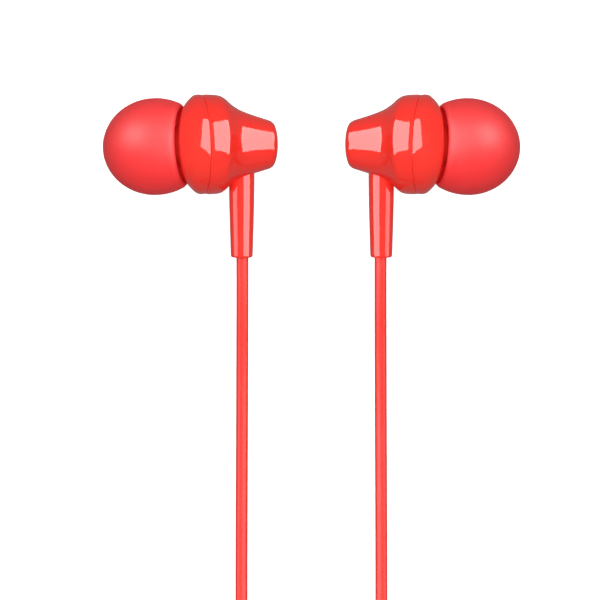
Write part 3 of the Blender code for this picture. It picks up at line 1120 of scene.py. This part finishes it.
@dataclass
class CordSet:
    """The two branches and the main cord, with the splitter and the plug on them.

    A branch leaves the stem, sinks to the table, goes round its coil and meets the splitter.
    The main cord goes from the splitter round its own coil and on to the plug.
    """

    branch_diameter: float = 1.55
    main_diameter: float = 2.0
    branch_coil: float = 9.0
    branch_turns: float = 2.375
    branch_layers: int = 2
    main_coil: float = 9.5
    main_turns: float = 3.1875
    main_layers: int = 4
    branch_exit: Point = (-8.93, -10.46, 4.17)
    branch_route: tuple[Point, ...] = (
        (-8.93, -9.6, 4.26), (-8.93, -10.82, 4.13), (-8.93, -14.0, 3.78), (-8.94, -18.0, 3.08),
        (-8.96, -22.5, 2.13), (-8.98, -27.0, 1.36), (-9.00, -32.0, 0.88), (-9.02, -37.0, 0.785),
        (-9.05, -44.0, 0.785), (-9.07, -52.0, 0.785), (-9.07, -58.0, 0.785), (-9.07, -61.2, 0.785),
        (-9.07, -64.5, 0.785),
    )
    branch_entry: Point = (-9.07, -68.3, 0.785)
    branch_tail: tuple[Point, ...] = (
        (-16.4, -57.48, 2.385), (-13.2, -57.5, 2.40), (-11.2, -57.5, 2.62), (-9.0, -57.7, 2.72),
        (-6.8, -58.3, 2.62), (-4.7, -59.3, 2.35), (-2.9, -60.7, 2.00), (-1.8, -62.0, 1.76),
        (-1.4, -63.3, 1.66), (-1.35, -64.25, 1.65), (-1.33, -66.2, 1.65),
    )
    main_exit: Point = (0.0, -76.9, 1.48)
    main_route: tuple[Point, ...] = (
        (0.0, -75.8, 1.50), (0.0, -77.2, 1.45), (0.0, -78.7, 1.12), (0.0, -80.4, 1.01),
        (0.0, -85.0, 1.01), (0.0, -89.0, 1.01),
    )
    main_entry: Point = (0.0, -93.0, 1.01)
    main_tail: tuple[Point, ...] = (
        (-8.6, -80.32, 7.19), (-4.7, -80.35, 7.10), (-1.0, -80.7, 6.90), (3.5, -81.7, 6.20),
        (8.5, -83.6, 5.00), (12.8, -86.7, 3.70), (15.8, -90.8, 2.45), (17.4, -95.6, 1.55),
        (17.7, -100.4, 1.10), (16.7, -104.9, 1.30), (14.5, -108.2, 2.00), (12.0, -109.9, 2.75),
        (10.0, -110.2, 2.98), (7.35, -110.2, 3.00), (5.4, -110.2, 3.00),
    )

    def branch(self, side: Side, paint: Paintbox) -> None:
        """Builds one branch.

        Args:
            side: Which bud's branch it is.
            paint: The finishes.
        """
        sign = -side.value

        def over(point: Point) -> Point:
            """Mirrors a point of the left branch to this side.

            Args:
                point: The point.

            Returns:
                The point on this side.
            """
            return (sign * point[0], point[1], point[2])

        entry = Vector(over(self.branch_entry))
        winding = (self.branch_coil, self.branch_turns, self.branch_layers, self.branch_diameter)
        coil = Coil(entry, *winding, -side.value)
        nodes = tuple(f"{side.word}_{part}" for part in ("cord", "cord_coil", "cord_tail"))
        before = [over(point) for point in self.branch_route]
        after = [over(point) for point in self.branch_tail]
        cord = Cord(f"{side.word}_branch", self.branch_diameter, before, coil, after, nodes)
        piece, length = cord.build(paint)
        LOG.info("%s is %.3f m long", piece.name, length)

    def main(self, pieces: list[Object], paint: Paintbox) -> None:
        """Builds the main cord.

        Args:
            pieces: The splitter and the plug's pieces, which are on it. Not used.
            paint: The finishes.
        """
        winding = (self.main_coil, self.main_turns, self.main_layers, self.main_diameter)
        coil = Coil(Vector(self.main_entry), *winding, 1)
        nodes = ("main_cord", "main_cord_coil", "main_cord_tail")
        before, after = list(self.main_route), list(self.main_tail)
        cord = Cord("main_lead", self.main_diameter, before, coil, after, nodes)
        piece, length = cord.build(paint)
        LOG.info("%s is %.3f m long", piece.name, length)


@dataclass
class Splitter:
    """The Y moulding: broad where the branches enter, with ribs where the main cord leaves."""

    back: float = -64.6
    length: float = 12.3
    height: float = 3.3
    ribs: int = 4
    first_rib: float = 8.9
    rib_pitch: float = 0.85
    sides: int = 48
    squareness: float = 0.62

    def build(self, paint: Paintbox) -> Object:
        """Builds and dresses the splitter.

        Args:
            paint: The finishes.

        Returns:
            The piece.
        """
        body = [
            (0.00, 4.2, 2.5), (0.25, 4.8, 3.0), (0.90, 5.3, 3.3), (3.00, 5.35, 3.3), (5.20, 5.1, 3.3),
            (7.20, 4.3, 3.2), (8.60, 3.6, 3.0),
        ]
        stations = smooth(body, 4)
        for k in range(self.ribs):
            start = self.first_rib + self.rib_pitch * k
            wide = 3.45 - 0.16 * k
            stations += [(start, wide, 2.95), (start + 0.42, wide - 0.05, 2.92)]
            stations += [(start + 0.48, wide - 0.5, 2.55), (start + 0.80, wide - 0.52, 2.52)]
        stations.append((self.length, 2.5, 2.4))
        bm = bmesh.new()
        loops = []
        for along, wide, high in stations:
            loop = []
            for spot in circle(1.0, self.sides):
                x, z = (math.copysign(abs(value) ** self.squareness, value) / 2 for value in spot.yz)
                loop.append(bm.verts.new((wide * x, self.back - along, self.height / 2 + high * z + 0.01)))
            loops.append(loop)
        bridge(bm, loops)
        piece = add_mesh("splitter_moulding", bm, 40.0)
        place_piece(piece, Slot.JACKET, "root", ("splitter",), paint)
        return piece


@dataclass
class Plug:
    """The straight three-pole plug: ribbed strain relief, fluted grip and turned contacts."""

    start: Point = (7.0, -110.2, 3.0)
    relief: float = 8.0
    grip: float = 15.0
    radius: float = 1.75
    flange: float = 0.6
    sleeve: float = 9.1
    gap: float = 0.1
    relief_rings: int = 7
    grip_rings: int = 3

    def frame(self) -> Matrix:
        """The plug's frame, with X along it to its tip.

        Returns:
            The frame's matrix.
        """
        return Matrix.Translation(self.start) @ Matrix.Rotation(math.pi, 4, "Z")

    def relief_profile(self) -> list[Point]:
        """The strain relief: a taper cut into rings so that it bends.

        Returns:
            Its profile.
        """
        found = [(0.0, 0.0), (0.0, 1.12), (0.15, 1.22)]
        pitch = (self.relief - 1.2) / self.relief_rings
        for k in range(self.relief_rings):
            at = 0.3 + pitch * k
            reach = 1.26 + 0.62 * k / self.relief_rings
            found += [(at, reach), (at + pitch * 0.58, reach + 0.05)]
            found += [(at + pitch * 0.66, reach - 0.22), (at + pitch * 0.92, reach - 0.20)]
        found += [(self.relief - 0.85, 1.88), (self.relief - 0.05, 1.90), (self.relief, 1.85)]
        return found + [(self.relief, 0.0)]

    def grip_profile(self) -> list[Point]:
        """The grip: a rounded barrel with three shallow finger rings.

        Returns:
            Its profile.
        """
        start = self.relief + self.gap
        end = start + self.grip
        found = [(start, 0.0), (start, 2.1), (start + 0.5, 2.55), (start + 1.4, 2.88), (start + 2.4, 2.98)]
        for k in range(self.grip_rings):
            at = start + 5.6 + 1.5 * k
            found += [(at, 2.98), (at + 0.15, 2.86), (at + 0.55, 2.86), (at + 0.70, 2.98)]
        found += [(end - 0.5, 2.98), (end, 2.7), (end, 0.0)]
        return rounded(found, 0.3, 5)

    def contact_profiles(self) -> list[tuple[str, list[Point], Slot]]:
        """The contacts and insulators, from the flange to the tip.

        Returns:
            Each one's name, profile and slot.
        """
        start = self.relief + self.grip + 2 * self.gap
        sleeve_end = start + self.sleeve
        ring = sleeve_end + 0.7
        ring_end = ring + 1.5
        tip = ring_end + 0.7
        r = self.radius
        sleeve = [
            (start, 0.0),
            (start, 2.3),
            (start + self.flange, 2.3),
            (start + self.flange, r),
            (sleeve_end, r),
            (sleeve_end, 0.0),
        ]
        ring_profile = [(ring, 0.0), (ring, r), (ring_end, r), (ring_end, 0.0)]
        head = [(0.0, 0.0), (0.0, 1.62), (0.35, 1.25), (0.62, 1.27), (1.15, 1.68)]
        head += [(1.5, 1.72), (1.9, 1.40), (2.35, 0.85), (2.55, 0.45), (2.6, 0.0)]
        head = [(tip + along, radius) for along, radius in head]
        return [
            ("sleeve_contact", rounded(sleeve, 0.08, 3), Slot.GOLD),
            ("ring_insulator", self.washer(sleeve_end + 0.01, ring - 0.01), Slot.BLACK),
            ("ring_contact", rounded(ring_profile, 0.08, 3), Slot.GOLD),
            ("tip_insulator", self.washer(ring_end + 0.01, tip - 0.01), Slot.BLACK),
            ("tip_contact", rounded(head, 0.18, 4), Slot.GOLD),
        ]

    def washer(self, start: float, end: float) -> list[Point]:
        """An insulator's slightly hollowed rim.

        Args:
            start: Where it starts along the plug.
            end: Where it ends.

        Returns:
            Its profile.
        """
        middle = (start + end) / 2
        return [(start, 0.0), (start, 1.70), (middle, 1.66), (end, 1.70), (end, 0.0)]

    def build(self, paint: Paintbox) -> list[Object]:
        """Builds and dresses the plug's pieces.

        Args:
            paint: The finishes.

        Returns:
            The pieces.
        """
        lathe = Lathe(self.frame(), 64)
        parts = [
            ("strain_relief", self.relief_profile(), Slot.JACKET),
            ("grip", self.grip_profile(), Slot.GLOSS),
        ]
        found = []
        for name, profile, slot in parts + self.contact_profiles():
            piece = lathe.turned(f"{name}_detail", profile, closed=False)
            place_piece(piece, slot, "root", (f"plug_{name}",), paint)
            found.append(piece)
        return found


# ---- studio


@dataclass(frozen=True)
class SoftBox:
    """A soft box that faces a point.

    Attributes:
        name: The light's name.
        lean: Degrees from straight up, away from the middle of the row.
        rise: Degrees towards +Y.
        size: Width and height in degrees, as seen from the point.
        watts: Its power.
        roll: Degrees that it's turned about the line to the point.
        parts: The pieces that it lights, named without their side.
        all_but: Whether it lights everything but those.
        far: How far away it is, in metres.
    """

    name: str
    lean: float
    rise: float
    size: tuple[float, float]
    watts: float
    roll: float = 0.0
    parts: tuple[str, ...] = ()
    all_but: bool = False
    far: float = 0.5

    def build(self, name: str, target: Vector, sign: int) -> Object:
        """Makes the light.

        Args:
            name: The light's whole name.
            target: The point that it faces, in metres.
            sign: 1, or -1 if it's mirrored to the -X side.

        Returns:
            The light.
        """
        data = bpy.data.lights.new(name, "AREA")
        data.shape = "RECTANGLE"
        data.size, data.size_y = (2 * self.far * math.tan(math.radians(angle / 2)) for angle in self.size)
        data.energy = self.watts
        light = add_object(name, data)
        a, b = math.radians(sign * self.lean), math.radians(self.rise)
        way = Vector((math.sin(a) * math.cos(b), math.sin(b), math.cos(a) * math.cos(b)))
        light.location = target + self.far * way
        across = Vector((0, 1, 0)).cross(way).normalized()
        turned = Matrix((across, way.cross(across), way)).transposed()
        light.rotation_euler = (turned @ Matrix.Rotation(math.radians(sign * self.roll), 3, "Z")).to_euler()
        return light


SLIM = ("stem_tube", "branch")
FRONT = ("front_moulding",)
SIDE_BOXES = (
    SoftBox("shell_box", -47.0, 17.0, (78.0, 70.0), 11.8, 5.0, SLIM + FRONT, True),
    SoftBox("front_box", -38.0, 17.0, (67.0, 76.0), 10.4, 22.0, FRONT),
    SoftBox("inner_box", -49.5, 17.0, (69.0, 78.0), 9.8, 0.0, SLIM),
    SoftBox("outer_box", 64.5, 17.0, (49.0, 78.0), 4.0, 0.0, SLIM),
    SoftBox("tip_box", 50.0, 25.0, (36.0, 36.0), 4.6, 0.0, ("silicone_tip",)),
)
KEY_BOX = SoftBox("key_box", 0.0, 22.0, (70.0, 60.0), 1.3)


@dataclass
class Studio:
    """The pale table, the soft light and the camera straight above.

    The plane at focus_height is shown at width_mm across the picture.
    """

    width_mm: float = 77.42
    focus_height: float = 6.3
    middle: Point = (-1.484, -16.0)
    lens: float = 500.0
    sensor: float = 36.0
    table_reach: float = 6000.0
    table_glow: float = 0.60
    room_light: float = 0.28
    sun_spread: float = 60.0

    def camera(self) -> None:
        """Makes the camera, which looks straight down with +Y up the picture."""
        data = bpy.data.cameras.new("camera")
        data.lens = self.lens
        data.sensor_width = self.sensor
        distance = self.width_mm * self.lens / self.sensor
        data.clip_start = 0.05
        data.clip_end = 20.0
        camera = add_object("camera", data)
        camera.location = [MM * value for value in (*self.middle, self.focus_height + distance)]
        bpy.context.scene.camera = camera

    def floor(self) -> None:
        """Makes the table's pale top."""
        bm = bmesh.new()
        bmesh.ops.create_grid(bm, x_segments=1, y_segments=1, size=self.table_reach)
        floor = add_mesh("table_top", bm)
        floor.location.z = -0.00002
        graph = Graph("pale_table")
        graph.colour(graph.noise(3.0, 2.0), (0.86, 0.86, 0.86), (0.88, 0.88, 0.88))
        graph.set(Roughness=0.9, Specular_IOR_Level=0.1)
        graph.set(Emission_Color=(1.0, 1.0, 1.0, 1.0), Emission_Strength=self.table_glow)
        floor.data.materials.append(graph.material)
        floor.visible_glossy = False
        floor.visible_diffuse = False

    def world(self) -> None:
        """Lights everything evenly from all round."""
        world = bpy.data.worlds.new("room")
        bpy.context.scene.world = world
        world.use_nodes = True
        background = world.node_tree.nodes["Background"]
        background.inputs["Color"].default_value = (1.0, 1.0, 1.0, 1.0)
        background.inputs["Strength"].default_value = self.room_light
        bpy.context.scene.view_settings.view_transform = "Standard"
        bpy.context.scene.view_settings.look = "None"

    def fill(self, name: str, strength: float, shadows: bool) -> None:
        """Makes a soft light from straight above.

        Args:
            name: The light's name.
            strength: Its strength.
            shadows: Whether it casts shadows. Without them it opens up the hollows.
        """
        data = bpy.data.lights.new(name, "SUN")
        data.energy = strength
        data.angle = math.radians(self.sun_spread)
        data.use_shadow = shadows
        light = add_object(name, data)
        light.location = (0, 0, 1)
        light.visible_glossy = False

    def lights(self) -> None:
        """Makes each side's soft boxes, which show only in its own pieces, and the common light."""
        for side in Side:
            low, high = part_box(f"{side.word}_rear_shell")
            target = (Vector(low) + Vector(high)) / 2
            for box in SIDE_BOXES:
                light = box.build(f"{side.word}_{box.name}", target, side.value)
                light.visible_diffuse = False
                light.light_linking.receiver_collection = lit_group(side, box)
        KEY_BOX.build(KEY_BOX.name, Vector((0, -0.02, 0)), 1).visible_glossy = False
        self.fill("fill", strength=0.9, shadows=False)
        self.fill("top", strength=1.25, shadows=True)


def lit_group(side: Side, box: SoftBox) -> bpy.types.Collection:
    """Gathers the pieces that one of a side's boxes lights.

    Args:
        side: The side.
        box: The box.

    Returns:
        A collection of them.
    """
    group = bpy.data.collections.new(f"{side.word}_{box.name}")
    other = Side(-side.value).word
    listed = [f"{side.word}_{part}" for part in box.parts]
    for piece in bpy.data.objects:
        own = not piece.name.startswith(other) and piece.name not in listed
        if (own if box.all_but else piece.name in listed) and piece.type in ("MESH", "CURVE"):
            group.objects.link(piece)
    return group


def main() -> None:
    """Builds the camera and cords, then the buds, and then the table and the light."""
    logging.basicConfig(level=logging.INFO, format="%(name)s %(message)s")
    paint = Paintbox()
    studio = Studio()
    studio.camera()
    cords = CordSet()
    for side in Side:
        cords.branch(side, paint)
    plug_pieces = Plug().build(paint)
    splitter = Splitter().build(paint)
    cords.main([splitter, *plug_pieces], paint)
    for side in Side:
        Bud(side).build(paint)
    paint.dress_nodes()
    studio.floor()
    studio.world()
    studio.lights()


if __name__ == "__main__":
    main()
